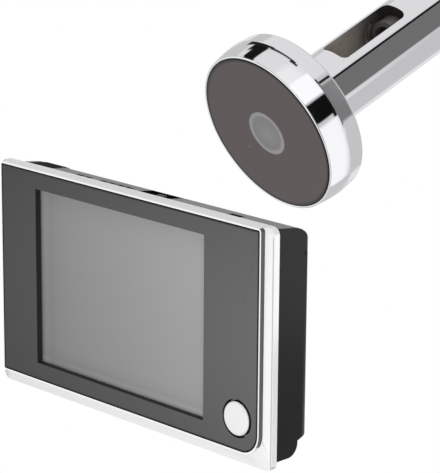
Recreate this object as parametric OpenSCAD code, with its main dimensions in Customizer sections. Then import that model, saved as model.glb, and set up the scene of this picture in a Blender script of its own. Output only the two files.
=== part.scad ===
// Peephole door camera: indoor monitor on its door bracket, and the camera unit beside it.
// Row frame: +X right, +Y towards the door, +Z up, seen from indoors.
// The origin is the middle of the bracket's back face, where it lies on the door.

/* [Front panel] */
// Width of the charcoal panel
panel_w = 109.7; // [104:0.1:116]
// Height of the charcoal panel
panel_h = 64.8; // [62:0.1:68]
// Thickness of the panel
panel_t = 2.0; // [1.6:0.1:2.4]
// Radius of the panel's rounded lower right corner
panel_corner_r = 6; // [3:0.5:8]
// Radius of the panel's three tight corners
panel_tight_r = 0.3; // [0.2:0.1:1.5]
// Dark gap line between the panel and the bezel's rim
panel_gap = 0.25; // [0.1:0.05:0.3]
// Plain margin from the panel's left edge to the window
margin_left = 15.6; // [13:0.1:18]
// Plain margin from the panel's right edge to the window
margin_right = 21.5; // [19:0.1:24]
// Plain margin above and below the window
margin_z = 5.15; // [4.7:0.05:7]

/* [View button] */
// Diameter of the button's cap
button_d = 10.4; // [8:0.1:11]
// Ring gap between the cap and its hole in the panel
button_gap = 0.45; // [0.3:0.05:0.8]
// Distance from the panel's right edge to the button's axis
button_inset_x = 7.9; // [7.5:0.1:9]
// Distance from the panel's bottom edge to the button's axis
button_inset_z = 9.2; // [8.6:0.1:11]
// Height of the domed cap above the panel
button_rise = 0.7; // [0.4:0.05:1.2]
// Travel of the button
button_travel = 0.5; // [0.3:0.05:0.7]
// Width of the retaining flange beyond the hole
button_flange_w = 0.8; // [0.5:0.1:1.1]
// Diameter of the button's stem
button_stem_d = 3; // [2:0.1:4]

/* [Bezel] */
// Width of the bezel's bright rim round the panel
rim_w = 0.5; // [0.4:0.05:1]
// Height of the rim above the lip
step_h = 2.7; // [2.4:0.1:3.2]
// Lip beyond the rim at the top
lip_top = 0.1; // [0.1:0.1:1.5]
// Lip beyond the rim at the left and right
lip_side = 2.55; // [2:0.05:4]
// Lip beyond the rim at the bottom
lip_bottom = 3.95; // [2:0.05:5]
// Thickness of the lip's edge
bezel_edge = 2.0; // [1.5:0.1:3]
// Outer corner radius of the bezel
bezel_corner_r = 2.3; // [2:0.1:4]
// Fall of the lip from the rim's foot back to its outer edge
lip_fall = 1.15; // [0.6:0.05:1.6]
// Width of the ledge that carries the panel
ledge_w = 2.2; // [1.8:0.1:2.6]

/* [Display] */
// Hidden border of the display glass at the window's left and right
glass_border_x = 1.35; // [0.8:0.05:2]
// Hidden border of the display glass above and below the window
glass_border_z = 0.75; // [0.5:0.05:0.9]
// Thickness of the display glass
glass_t = 1.2; // [0.8:0.1:1.6]
// Depth of the glass behind the panel
glass_setback = 0.8; // [0.5:0.1:1.2]
// Thickness of the metal frame beside the glass
lcd_rim = 0.7; // [0.5:0.1:0.9]
// Width of the frame's lower ledge
lcd_ledge = 1.8; // [1:0.1:1.9]
// Depth of the backlight behind the glass
backlight_t = 2.0; // [1.2:0.1:2.6]

/* [Rear housing] */
// Depth of the monitor from the panel's face to the housing's back
monitor_d = 21.0; // [20:0.1:23]
// Wall thickness of the housing
wall = 1.6; // [1.2:0.1:2]
// Step from the bezel's side to the housing's side
inset_side = 3.15; // [2.5:0.05:4]
// Step from the bezel's top to the housing's top
inset_top = 1.0; // [0.4:0.1:1.5]
// Step from the bezel's bottom to the housing's bottom
inset_bottom = 1.0; // [0.4:0.1:1.5]
// Fall of the sloping top from the bezel to the back
top_drop = 2.2; // [1.6:0.1:3.2]
// Radius of the top's rear edge
top_edge_r = 8; // [6:0.1:8.4]
// Radius of the upright rear edges
side_edge_r = 3; // [2:0.1:3.4]
// Radius of the lower rear edge
low_edge_r = 3.8; // [2:0.1:4.2]
// Depth of the step at the back's lower end
low_step = 4.65; // [3.5:0.05:5]
// Height of the lower, thinner part of the back
low_h = 4.4; // [3.9:0.1:6]
// Height of the sloping face of the step
low_slope_h = 1.7; // [1.5:0.1:3]

/* [Power switch] */
// Distance from the panel's middle to the recess in the housing's top
recess_x = -3.4; // [-5:0.1:2]
// Length of the recess
recess_l = 13; // [12:0.1:16]
// Width of the slide knob
knob_w = 2.6; // [2.2:0.1:3.2]
// Depth of the slide knob
knob_d = 5.4; // [4.5:0.1:6]
// Height of the slide knob
knob_h = 2.6; // [1.8:0.1:3]
// Travel of the slide knob
knob_travel = 4; // [2:0.1:5]

/* [Batteries] */
// Diameter of one cell
cell_d = 10.5; // [10.2:0.1:10.6]
// Length of one cell with its nub
cell_l = 44.5; // [44:0.1:45]
// Play between cells
cell_gap = 0.4; // [0.2:0.05:0.5]
// Room for the contact at each end of a cell
contact_room = 1.75; // [1.4:0.05:2]
// Thickness of the battery cover
cover_t = 1.4; // [1.2:0.1:1.5]

/* [Bracket] */
// Width of the bracket plate
bracket_w = 54; // [50:0.5:54.5]
// Height of the bracket plate
bracket_h = 44; // [42:0.5:45]
// Sheet thickness of the bracket
bracket_t = 1.2; // [1:0.1:1.4]
// Distance from the panel's middle to the bracket's middle, to the right
bracket_x = 18; // [17.8:0.1:19]
// Distance from the panel's middle down to the bracket's middle
bracket_drop = 2; // [1:0.1:3]
// Diameter of the bracket's hole for the clamp tube
bracket_bore_d = 11.4; // [11.1:0.1:12]
// Height of that hole above the bracket's middle
bracket_bore_z = 9; // [7:0.1:10]
// Distance between the left and right hooks
hook_span_x = 38; // [34:0.5:40]
// Distance between the lower and upper hooks
hook_span_z = 26; // [24:0.5:28]
// Width of one hook
hook_w = 5; // [4:0.1:6]
// Height of a hook's finger
hook_finger = 3; // [2:0.1:3.5]
// Gap between the housing's back and the door
door_gap = 0.4; // [0.3:0.1:0.8]
// Lift that frees the monitor from the hooks
lift = 5; // [4.5:0.1:6]

/* [Camera unit] */
// Diameter of the tinted face disc
disc_d = 35; // [33:0.1:36]
// Thickness of the face disc
disc_t = 1.6; // [1.2:0.1:2]
// Thickness of the black gasket line round the disc
gasket_t = 0.3; // [0.2:0.05:0.5]
// Width of the flange's front rim
flange_rim = 0.5; // [0.4:0.1:0.8]
// Depth of the flange
flange_depth = 9.4; // [9:0.1:11]
// Diameter of the flange's rear band
flange_d = 37.8; // [37.4:0.1:40]
// Depth of the crease between the two bands
crease_y = 5.4; // [4:0.1:6.5]
// Wall at the back of the flange
flange_back = 1.6; // [1.2:0.1:2]
// Diameter of the clear lens window
lens_window_d = 10.2; // [9.5:0.1:11.5]
// Diameter of the barrel
barrel_d = 16; // [15:0.1:17]
// Bore of the barrel behind the flange
barrel_bore_d = 13; // [12.4:0.1:13.4]
// Length of the barrel from the face disc to its tail
barrel_end = 62; // [56:0.5:70]
// Distance from the face disc to the slot window
slot_y = 21.3; // [18:0.1:23]
// Length of the slot window
slot_l = 19.8; // [14:0.1:20.5]
// Width of the slot window
slot_w = 6.7; // [5:0.1:7.5]
// Corner radius of the slot window
slot_r = 1.5; // [0.8:0.1:2.2]
// Distance from the face disc to the threaded bore of the tail
thread_y = 37.6; // [35:0.1:39]
// Diameter of the clamp tube
clamp_d = 10.8; // [10.2:0.1:11]
// Running clearance round the clamp tube
clamp_clear = 0.05; // [0.03:0.01:0.1]
// Bore of the clamp tube for the cable
clamp_bore_d = 8.4; // [7.5:0.1:8.6]
// Exposed length of the clamp tube behind the barrel
clamp_out = 16; // [16:0.5:20]
// Depth of the clamp tube inside the barrel
clamp_in = 23.8; // [20:0.1:24]
// Diameter of the clamp tube's head
clamp_head_d = 15.6; // [14.6:0.1:15.8]
// Thickness of the clamp tube's head
clamp_head_t = 1.4; // [1:0.1:2]
// Thickness of the clamp washer
washer_t = 0.8; // [0.5:0.1:1.2]

/* [Camera unit place] */
// Face disc's middle, to the right of the origin
unit_x = 134.4; // [100:0.1:160]
// Face disc's middle, in front of the door face
unit_front = 119.0; // [90:0.1:140]
// Face disc's middle, above the origin
unit_z = 92.1; // [75:0.1:120]
// Rise of the barrel towards its tail
unit_pitch = 23; // [10:0.5:30]
// Swing of the barrel's tail to the right
unit_yaw = 4; // [0:0.5:12]
// Turn of the unit about its barrel
unit_roll = 12.5; // [0:0.5:20]

/* [Hidden] */
$fn = 64;
eps = 0.01;

// Fits: a snug gap inside one body, a free gap between pieces that move past each other, and a thread's gap
snug = 0.1;
free = 0.2;
thread_gap = 0.05;
quarter_turn = 90;

// Bezel outline, measured from the panel's middle
rim_grow = panel_gap + rim_w;
bezel_x = panel_w / 2 + rim_grow + lip_side;
bezel_top = panel_h / 2 + rim_grow + lip_top;
bezel_bottom = -panel_h / 2 - rim_grow - lip_bottom;
bezel_back = step_h + bezel_edge;

// Window, button and display
window_w = panel_w - margin_left - margin_right;
window_h = panel_h - 2 * margin_z;
window_x = (margin_left - margin_right) / 2;
glass_w = window_w + 2 * glass_border_x;
glass_h = window_h + 2 * glass_border_z;
button_x = panel_w / 2 - button_inset_x;
button_z = -panel_h / 2 + button_inset_z;
button_hole_r = button_d / 2 + button_gap;
button_flange_r = button_hole_r + button_flange_w;
button_flange_t = 0.8;
dome_edge = 0.25;
button_stem_end = panel_t + 1.2;
glass_y = panel_t + glass_setback;
lcd_y = panel_t + 0.3;
lcd_back = glass_y + glass_t + backlight_t;
lcd_x0 = window_x - glass_w / 2 - snug - lcd_rim;
lcd_x1 = window_x + glass_w / 2 + snug + lcd_rim;
lcd_z0 = -glass_h / 2 - snug - lcd_ledge;
lcd_z1 = glass_h / 2 + snug + lcd_rim;

// Main board
screw_head_t = 0.9;
board_y = lcd_back + free + screw_head_t + 0.3;
board_t = 1.2;
board_back = board_y + board_t;

// Rear housing
housing_x = bezel_x - inset_side;
housing_top = bezel_top - inset_top;
housing_bottom = bezel_bottom + inset_bottom;
low_back = monitor_d - low_step;
low_slope_top = housing_bottom + low_h + low_slope_h;
top_angle = atan(top_drop / (monitor_d - bezel_back));
inner_back = monitor_d - wall;

// Battery bay at the housing's left
bay_wall = 1.2;
bay_end_play = 0.3;
bay_w = 3 * cell_d + 2 * cell_gap + 2 * bay_end_play;
bay_edge = 8.4;
bay_x0 = -housing_x + bay_edge;
bay_x1 = bay_x0 + bay_w;
bay_z = -1;
bay_z0 = bay_z - cell_l / 2 - contact_room;
bay_z1 = bay_z + cell_l / 2 + contact_room;
cover_y = monitor_d - cover_t;
cell_y = cover_y - 0.25 - cell_d / 2;
bay_floor = cell_y - cell_d / 2 - 0.25;
bay_floor_t = 0.8;
cover_seat = bay_wall - free;
cover_x0 = bay_x0 - cover_seat;
cover_x1 = bay_x1 + cover_seat;
cover_z1 = bay_z1 + cover_seat;
tongue_w = 0.8;
tongue_t = 0.7;
cell_pitch = cell_d + cell_gap;
nub_d = 3.8;
nub_l = 1.2;

// Bracket, in the monitor's own frame
bracket_z = -bracket_drop;
door_y = monitor_d + door_gap;
plate_y = door_y - bracket_t;
recess_floor = plate_y - 1.6;
recess_wall_y = recess_floor - wall;
recess_play = 0.8;
hook_gap = 0.15;
hook_finger_y = recess_wall_y - free - bracket_t;
hook_slot_h = lift + hook_gap + bracket_t + free;
socket_w = 13;
bore_x = bracket_x;
bore_z = bracket_z + bracket_bore_z;

// Screws that close the housing, and those that hold the board
case_boss_r = 2.1;
case_screw_r = 0.9;
case_head_r = 1.6;
case_head_t = 1.2;
case_seat_y = monitor_d - 3.5;
case_boss_end = bezel_back + 4.3;
case_x = panel_w / 2 - ledge_w - 1.65;
case_inset_z = 12.2;
case_over_button = 7.2;
case_z = [panel_h / 2 - case_inset_z, button_z + case_over_button];
board_screw_r = 0.8;
board_screw_bite = 4;
board_post_r = 1.9;
board_head_r = 1.5;
board_x0 = bay_x1 + bay_wall + 1;
board_x1 = case_x - case_boss_r - 0.5;
board_z0 = housing_bottom + wall + 5.5;
board_z1 = housing_top - top_drop - 3.1;
post_in = 3.4;
board_posts = [
  [board_x0 + post_in, board_z1 - post_in], [board_x1 - post_in, board_z1 - post_in],
  [board_x0 + post_in, board_z0 + post_in], [board_x1 - 3 * post_in, board_z0 + post_in]
];

// Switch under the view button
tact_w = 6;
tact_front = button_stem_end + 0.9;
plunger_r = 1.7;
plunger_end = tact_front + 2;

// Power switch in the housing's top
recess_z = board_z1 + free + wall;
recess_y = lcd_back + free + wall;
knob_x = recess_x + 3.7;
knob_y = board_back + 3.2;
knob_z = recess_z + free;
stem_w = 1.6;
stem_d = 2;
stem_x = knob_x + knob_w / 2;
switch_top = recess_z - wall - 0.5;
switch_h = 5.4;
switch_d = 2 * (knob_y - board_back);
stem_end = switch_top - 2;

// Camera unit, in its own frame: the face disc's middle is its origin and +Y runs down the barrel
disc_r = disc_d / 2;
gasket_r = disc_r + gasket_t;
rim_r = gasket_r + flange_rim;
flange_r = flange_d / 2;
disc_ledge = 1.2;
cup_r = disc_r - disc_ledge;
cup_floor = flange_depth - flange_back;
camera_board_t = 1;
camera_board_y = cup_floor - 0.8 - camera_board_t;
camera_board_r = cup_r - 0.4;
sensor_t = 0.7;
holder_w = 9;
lens_r = 3.4;
lens_y = disc_t + 0.4;
lens_l = 2.2;
lens_wall = 0.8;
lens_seat = 1;
led_r = 1.5;
led_ring_r = 11.2;
led_count = 6;
sensor_dot_r = 8.8;
sensor_dot_angle = 225;
camera_screw_ring = cup_r - 2.4;
camera_screw_r = 0.8;
camera_screw_bite = 1;
barrel_r = barrel_d / 2;
spigot_step = 1;
spigot_r = barrel_r - spigot_step;
shoulder_l = 0.4;
shoulder_y = flange_depth - shoulder_l;
barrel_bore_r = barrel_bore_d / 2;
clamp_r = clamp_d / 2;
clamp_front = barrel_end - clamp_in;
clamp_head_y = barrel_end + clamp_out;
washer_play = 0.05;

// Frames

// Puts a piece drawn in the monitor's frame, with the panel's face at y = 0, into the row frame
module in_monitor() {
  translate([-bracket_x, -door_y, -bracket_z]) children();
}

// Puts a piece drawn in the camera unit's frame into the row frame
module in_unit() {
  translate([unit_x, -unit_front, unit_z])
    rotate([0, 0, -unit_yaw])
      rotate([unit_pitch, 0, 0])
        rotate([0, unit_roll, 0]) children();
}

// Shapes

// Extrudes an outline drawn in x and z from depth y0 to depth y1
module slab(y0, y1) {
  translate([0, y1, 0]) rotate([90, 0, 0]) linear_extrude(y1 - y0) children();
}

// Extrudes an outline drawn in y and z from x0 to x1
module along_x(x0, x1) {
  translate([x0, 0, 0]) rotate([90, 0, 90]) linear_extrude(x1 - x0) children();
}

// Box between two corners
module block(low, high) {
  translate(low) cube(high - low);
}

// Round bar along y
module rod(r, y0, y1) {
  translate([0, y1, 0]) rotate([90, 0, 0]) cylinder(r = r, h = y1 - y0);
}

// Round bar along y, placed in x and z
module rod_at(at, r, y0, y1) {
  translate([at[0], 0, at[1]]) rod(r, y0, y1);
}

// Turns a profile drawn in radius and y about the y axis
module spun() {
  rotate([-90, 0, 0]) rotate_extrude() children();
}

// Rectangle from low to high with a radius for each corner: top left, top right, bottom right, bottom left
module outline(low, high, r) {
  polygon(concat(
    corner_arc([low[0] + r[0], high[1] - r[0]], r[0], 180),
    corner_arc([high[0] - r[1], high[1] - r[1]], r[1], 90),
    corner_arc([high[0] - r[2], low[1] + r[2]], r[2], 0),
    corner_arc([low[0] + r[3], low[1] + r[3]], r[3], 270)
  ));
}

// The panel's outline, grown or shrunk by an even margin
module panel_outline(grow) {
  tight = max(0, panel_tight_r + grow);
  outline(
    [-panel_w / 2 - grow, -panel_h / 2 - grow], [panel_w / 2 + grow, panel_h / 2 + grow],
    [tight, tight, panel_corner_r + grow, tight]
  );
}

module bezel_outline() {
  outline(
    [-bezel_x, bezel_bottom], [bezel_x, bezel_top],
    [bezel_corner_r, bezel_corner_r, bezel_corner_r, bezel_corner_r]
  );
}

// Points of an arc, as [first axis, second axis]
function arc(at, r, from, to, steps = 8) =
  [for (i = [0:steps]) let (a = from + (to - from) * i / steps) at + r * [cos(a), sin(a)]];

// Quarter round of an outline's corner, clockwise from an angle, or its point if it has no radius
function corner_arc(at, r, from) = r > 0 ? arc(at, r, from, from - quarter_turn) : [at];

// Profile of a shallow dome in radius and y, from its crown at y outwards to its edge
function dome_points(r, bow, y) =
  let (ball = (r * r + bow * bow) / (2 * bow), half = asin(r / ball))
  [for (i = [0:8]) let (a = half * i / 8) [ball * sin(a), y + ball * (1 - cos(a))]];

// Height of the housing's sloping top at a depth
function top_at(y) = housing_top - (y - bezel_back) * tan(top_angle);

// Side profile of the housing in y and z, drawn in by an even wall
function side_profile(w) =
  let (
    back = monitor_d - w,
    low = low_back - w,
    r_top = top_edge_r - w,
    r_low = low_edge_r - w,
    top_y = back - r_top,
    top_z = top_at(top_y) - (w + r_top) / cos(top_angle)
  )
  concat(
    [[bezel_back - w / 10, housing_bottom + w]],
    [[bezel_back - w / 10, top_at(bezel_back) - w / cos(top_angle)]],
    arc([top_y, top_z], r_top, 90 - top_angle, 0),
    [[back, low_slope_top + w / 2], [low, low_slope_top - low_slope_h + w / 2]],
    arc([low - r_low, housing_bottom + w + r_low], r_low, 0, -90)
  );

// The housing's outer form, or with a wall its hollow
module housing_form(w) {
  edge = side_edge_r - w;
  intersection() {
    along_x(-housing_x + w, housing_x - w) polygon(side_profile(w));
    translate([0, 0, housing_bottom])
      linear_extrude(housing_top - housing_bottom)
        outline([-housing_x + w, 0], [housing_x - w, monitor_d - w], [edge, edge, 0, 0]);
  }
}

// Monitor

// The lip: it falls back from the rim's foot to its outer edge
module lip() {
  hull() {
    slab(step_h - lip_fall, step_h) panel_outline(rim_grow - eps);
    slab(step_h, bezel_back) bezel_outline();
  }
}

module case_points() {
  for (side = [-1, 1])
    for (z = case_z)
      translate([side * case_x, 0, z]) children();
}

module front_bezel() {
  color("gainsboro") in_monitor() difference() {
    union() {
      slab(0, step_h + eps) panel_outline(rim_grow);
      lip();
      case_points() rod(case_boss_r, bezel_back - 1, case_boss_end);
    }
    slab(-1, panel_t) panel_outline(panel_gap);
    difference() {
      slab(panel_t - eps, bezel_back + 1) panel_outline(-ledge_w);
      case_points() rod(case_boss_r, 0, case_boss_end + 1);
    }
    rod_at([button_x, button_z], button_flange_r + free, panel_t - eps, bezel_back + 1);
    case_points() rod(case_screw_r + thread_gap, bezel_back - 1, case_boss_end + 1);
  }
}

module front_panel() {
  color("dimgray") in_monitor() difference() {
    slab(0, panel_t) panel_outline(0);
    slab(-1, panel_t + 1) translate([window_x - window_w / 2, -window_h / 2]) square([window_w, window_h]);
    rod_at([button_x, button_z], button_hole_r, -1, panel_t + 1);
  }
}

module view_button() {
  cap_r = button_d / 2;
  flange_y = panel_t + free;
  color("whitesmoke") in_monitor() translate([button_x, 0, button_z]) spun() polygon(concat(
    dome_points(cap_r, button_rise - dome_edge, -button_rise),
    [
      [cap_r, flange_y], [button_flange_r, flange_y], [button_flange_r, flange_y + button_flange_t],
      [button_stem_d / 2, flange_y + button_flange_t],
      [button_stem_d / 2, button_stem_end], [0, button_stem_end]
    ]
  ));
}

module switch_plunger() {
  color("saddlebrown") in_monitor() translate([button_x, 0, button_z])
    rod(plunger_r, button_stem_end, plunger_end);
}

module tact_switch() {
  at = [button_x, button_z];
  color("darkgray") in_monitor() difference() {
    block(
      [at[0] - tact_w / 2, tact_front, at[1] - tact_w / 2],
      [at[0] + tact_w / 2, board_y, at[1] + tact_w / 2]
    );
    rod_at(at, plunger_r + snug, tact_front - 1, plunger_end + button_travel + free);
  }
}

module lcd_glass() {
  color("darkgray") in_monitor()
    slab(glass_y, glass_y + glass_t)
      translate([window_x - glass_w / 2, -glass_h / 2]) square([glass_w, glass_h]);
}

module lcd_frame() {
  color("silver") in_monitor() difference() {
    block([lcd_x0, lcd_y, lcd_z0], [lcd_x1, lcd_back, lcd_z1]);
    block(
      [window_x - glass_w / 2 - snug, lcd_y - 1, -glass_h / 2 - snug],
      [window_x + glass_w / 2 + snug, glass_y + glass_t, glass_h / 2 + snug]
    );
  }
}

module main_board() {
  ear = tact_w / 2 + 1;
  color("darkgreen") in_monitor() difference() {
    slab(board_y, board_back) union() {
      translate([board_x0, board_z0]) square([board_x1 - board_x0, board_z1 - board_z0]);
      translate([button_x - ear, button_z - ear]) square(2 * ear);
    }
    for (p = board_posts) rod_at(p, board_screw_r + snug, board_y - 1, board_back + 1);
  }
}

module board_chips() {
  chip_t = 1.2;
  chip_gap = 6;
  chip_inset = 10;
  memory_drop = 3;
  processor = 12;
  memory = [8, 10];
  driver = [8, 6];
  row_x = board_x1 - chip_inset - processor;
  memory_z = bore_z - memory_drop;
  processor_z = memory_z - chip_gap - processor;
  color("black") in_monitor() {
    translate([row_x, board_back, processor_z]) cube([processor, chip_t, processor]);
    translate([row_x + (processor - memory[0]) / 2, board_back, memory_z])
      cube([memory[0], chip_t, memory[1]]);
    translate([board_x0 + driver[0], board_back, processor_z - driver[1]])
      cube([driver[0], chip_t, driver[1]]);
  }
}

module board_screws() {
  color("silver") in_monitor() for (p = board_posts) {
    rod_at(p, board_head_r, board_y - screw_head_t, board_y);
    rod_at(p, board_screw_r, board_y - eps, board_back + board_screw_bite);
  }
}

module camera_socket() {
  socket_h = 5.6;
  socket_d = 4.6;
  mouth = [9.5, 2.6];
  color("ivory") in_monitor() translate([bore_x, 0, bore_z]) difference() {
    block([-socket_w / 2, board_back, -socket_h / 2], [socket_w / 2, board_back + socket_d, socket_h / 2]);
    block(
      [-mouth[0] / 2, board_back + 1, -mouth[1] / 2],
      [mouth[0] / 2, board_back + socket_d + 1, mouth[1] / 2]
    );
  }
}

// Slot that the knob's stem runs in, at a margin round its whole travel
module stem_run(margin, z0, z1) {
  block(
    [stem_x - stem_w / 2 - margin, knob_y - stem_d / 2 - margin, z0],
    [stem_x + stem_w / 2 + knob_travel + margin, knob_y + stem_d / 2 + margin, z1]
  );
}

module power_switch_body() {
  end = 2;
  color("silver") in_monitor() difference() {
    block(
      [stem_x - stem_w / 2 - end, board_back, switch_top - switch_h],
      [stem_x + stem_w / 2 + knob_travel + end, board_back + switch_d, switch_top]
    );
    stem_run(free, stem_end - free, switch_top + 1);
  }
}

module power_switch_knob() {
  rib_w = 0.5;
  rib_h = 0.4;
  color("dimgray") in_monitor() union() {
    block(
      [knob_x, knob_y - knob_d / 2, knob_z],
      [knob_x + knob_w, knob_y + knob_d / 2, knob_z + knob_h - rib_h]
    );
    for (x = [knob_x, knob_x + (knob_w - rib_w) / 2, knob_x + knob_w - rib_w])
      block([x, knob_y - knob_d / 2, knob_z], [x + rib_w, knob_y + knob_d / 2, knob_z + knob_h]);
    block(
      [stem_x - stem_w / 2, knob_y - stem_d / 2, stem_end],
      [stem_x + stem_w / 2, knob_y + stem_d / 2, knob_z + eps]
    );
  }
}

// The cover's plate with its tongues, at a margin for its seat in the housing
module cover_form(margin) {
  tongue_y = cover_y + 0.05;
  block(
    [cover_x0 - margin, cover_y - margin / 2, housing_bottom],
    [cover_x1 + margin, monitor_d + margin, cover_z1 + margin]
  );
  block(
    [cover_x0 - tongue_w - margin, tongue_y - margin / 2, housing_bottom],
    [cover_x1 + tongue_w + margin, tongue_y + tongue_t + margin / 2, cover_z1 - 2 + margin]
  );
}

module battery_cover() {
  grip_w = 16;
  grip_rise = 6;
  grip_z = bay_z0 + grip_rise;
  color("dimgray") in_monitor() difference() {
    intersection() {
      cover_form(0);
      along_x(cover_x0 - tongue_w, cover_x1 + tongue_w) polygon(side_profile(0));
    }
    for (i = [0:3])
      translate([(cover_x0 + cover_x1 - grip_w) / 2, monitor_d, grip_z + 1.8 * i])
        rotate([0, 90, 0]) cylinder(r = 0.5, h = grip_w);
  }
}

// Switch recess in the sloping top, open at the rounded rear edge, grown by a wall for its tub
module switch_recess(w) {
  block(
    [recess_x - w, recess_y - w, recess_z - w],
    [recess_x + recess_l + w, inner_back + w, housing_top + w]
  );
}

// Recess for the bracket, open at its lower end, grown by a wall for its tub
module bracket_recess(w) {
  block(
    [bracket_x - bracket_w / 2 - recess_play - w, recess_floor - w, low_slope_top - 2 * low_slope_h],
    [bracket_x + bracket_w / 2 + recess_play + w, monitor_d + w, bracket_z + bracket_h / 2 + recess_play + w]
  );
}

module hook_points() {
  for (sx = [-1, 1])
    for (sz = [-1, 1])
      translate([bracket_x + sx * hook_span_x / 2, 0, bracket_z + sz * hook_span_z / 2]) children();
}

// What the housing's inside carries: battery bay, tubs, posts and bosses
module housing_inside() {
  block(
    [bay_x0 - bay_wall, bay_floor - bay_floor_t, bay_z0 - bay_wall],
    [bay_x1 + bay_wall, monitor_d, bay_z1 + bay_wall]
  );
  block(
    [cover_x0 - tongue_w - wall, cover_y - wall, housing_bottom],
    [cover_x1 + tongue_w + bay_wall, monitor_d, cover_z1 + wall]
  );
  bracket_recess(wall);
  switch_recess(wall);
  for (p = board_posts) rod_at(p, board_post_r, board_back, inner_back + eps);
  case_points() rod(case_boss_r, case_boss_end + free, inner_back + eps);
}

// Short slits behind the bezel, in two runs left of the switch recess
module top_slits() {
  slit = [3, 1.6, 0.9];
  slit_pitch = 3.7;
  run_gap = 3;
  slit_set = 6.6;
  slit_y = bezel_back + 4.4;
  for (i = [0:5])
    translate([-i * slit_pitch - (i > 3 ? run_gap : 0), 0, 0])
      translate([recess_x - slit_set, slit_y, top_at(slit_y) - slit[2]])
        cube([slit[0], slit[1], 2 * slit[2]]);
}

// Low pad over the top's left end
module top_pad() {
  pad_l = 11.5;
  pad_rise = 0.25;
  intersection() {
    along_x(-housing_x + side_edge_r, -housing_x + pad_l) polygon(side_profile(-pad_rise));
    block([-housing_x, bezel_back, housing_top - top_edge_r], [housing_x, monitor_d, housing_top + 1]);
  }
}

module rear_housing() {
  snap_inset = 16.7;
  snap_l = 5.2;
  snap_y = [bezel_back + 4, bezel_back + 6.6];
  notch_top = housing_top - top_edge_r - 0.6;
  notch_h = 1;
  notch_d = 1.1;
  color("black") in_monitor() difference() {
    union() {
      difference() {
        union() {
          housing_form(0);
          top_pad();
        }
        housing_form(wall);
      }
      intersection() {
        housing_form(wall / 2);
        housing_inside();
      }
    }
    block([bay_x0, bay_floor, bay_z0], [bay_x1, monitor_d, bay_z1]);
    cover_form(snug);
    bracket_recess(0);
    switch_recess(0);
    stem_run(free, recess_z - wall - 1, recess_z + 1);
    hook_points() block(
      [-hook_w / 2 - free, recess_wall_y - 1, hook_gap - hook_slot_h - bracket_t],
      [hook_w / 2 + free, recess_floor + 1, hook_gap]
    );
    block(
      [bore_x - socket_w / 2 - 1, recess_wall_y - 1, bore_z - socket_w / 3],
      [bore_x + socket_w / 2 + 1, recess_floor + 1, bore_z + socket_w / 3]
    );
    for (p = board_posts)
      rod_at(p, board_screw_r + thread_gap, board_back - 1, board_back + board_screw_bite + free);
    case_points() rod(case_screw_r + snug, bezel_back, monitor_d);
    case_points() rod(case_head_r + snug, case_seat_y, monitor_d + 1);
    block(
      [housing_x - snap_inset - snap_l, snap_y[0], top_at(snap_y[1]) - wall - 1],
      [housing_x - snap_inset, snap_y[1], housing_top + 1]
    );
    block(
      [housing_x - notch_d, monitor_d - side_edge_r, notch_top - notch_h],
      [housing_x + 1, monitor_d + 1, notch_top]
    );
    top_slits();
  }
}

module housing_screws() {
  slot = [0.5, 0.6];
  color("silver") in_monitor() case_points() difference() {
    union() {
      rod(case_head_r, case_seat_y, case_seat_y + case_head_t);
      rod(case_screw_r, bezel_back + 0.5, case_seat_y + eps);
    }
    for (turn = [0, 90])
      rotate([0, turn, 0])
        block(
          [-case_head_r / 1.6, case_seat_y + case_head_t - slot[1], -slot[0] / 2],
          [case_head_r / 1.6, case_seat_y + case_head_t + 1, slot[0] / 2]
        );
  }
}

// Runs its children once for each cell, turned end for end on the middle one
module each_cell() {
  for (i = [0:2])
    translate([bay_x0 + bay_end_play + cell_d / 2 + i * cell_pitch, cell_y, bay_z])
      rotate([i == 1 ? 180 : 0, 0, 0]) children();
}

module battery_cells() {
  color("darkslategray") in_monitor() each_cell() {
    translate([0, 0, -cell_l / 2]) cylinder(d = cell_d, h = cell_l - nub_l);
    translate([0, 0, cell_l / 2 - nub_l - eps]) cylinder(d = nub_d, h = nub_l + eps);
  }
}

module battery_contacts() {
  plate = 0.4;
  plate_w = 8;
  touch = 0.05;
  far = cell_l / 2 + contact_room;
  color("silver") in_monitor() each_cell() {
    block([-plate_w / 2, -plate_w / 2, far - plate], [plate_w / 2, plate_w / 2, far]);
    translate([0, 0, cell_l / 2 + touch]) cylinder(d = nub_d + 1, h = contact_room - touch - plate + eps);
    block([-plate_w / 2, -plate_w / 2, -far], [plate_w / 2, plate_w / 2, plate - far]);
    translate([0, 0, -far + plate - eps])
      cylinder(r1 = plate_w / 2 - 0.6, r2 = plate_w / 4, h = contact_room - touch - plate + eps);
  }
}

module mounting_bracket() {
  corner = 3;
  neck_y = hook_finger_y;
  color("lightsteelblue") in_monitor() difference() {
    union() {
      slab(plate_y, door_y)
        outline(
          [bracket_x - bracket_w / 2, bracket_z - bracket_h / 2],
          [bracket_x + bracket_w / 2, bracket_z + bracket_h / 2],
          [corner, corner, corner, corner]
        );
      hook_points() {
        block([-hook_w / 2, neck_y, -bracket_t], [hook_w / 2, plate_y + eps, 0]);
        block([-hook_w / 2, neck_y, -bracket_t], [hook_w / 2, neck_y + bracket_t, hook_finger]);
      }
    }
    rod_at([bore_x, bore_z], bracket_bore_d / 2, plate_y - 1, door_y + 1);
  }
}

// Camera unit

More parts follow.
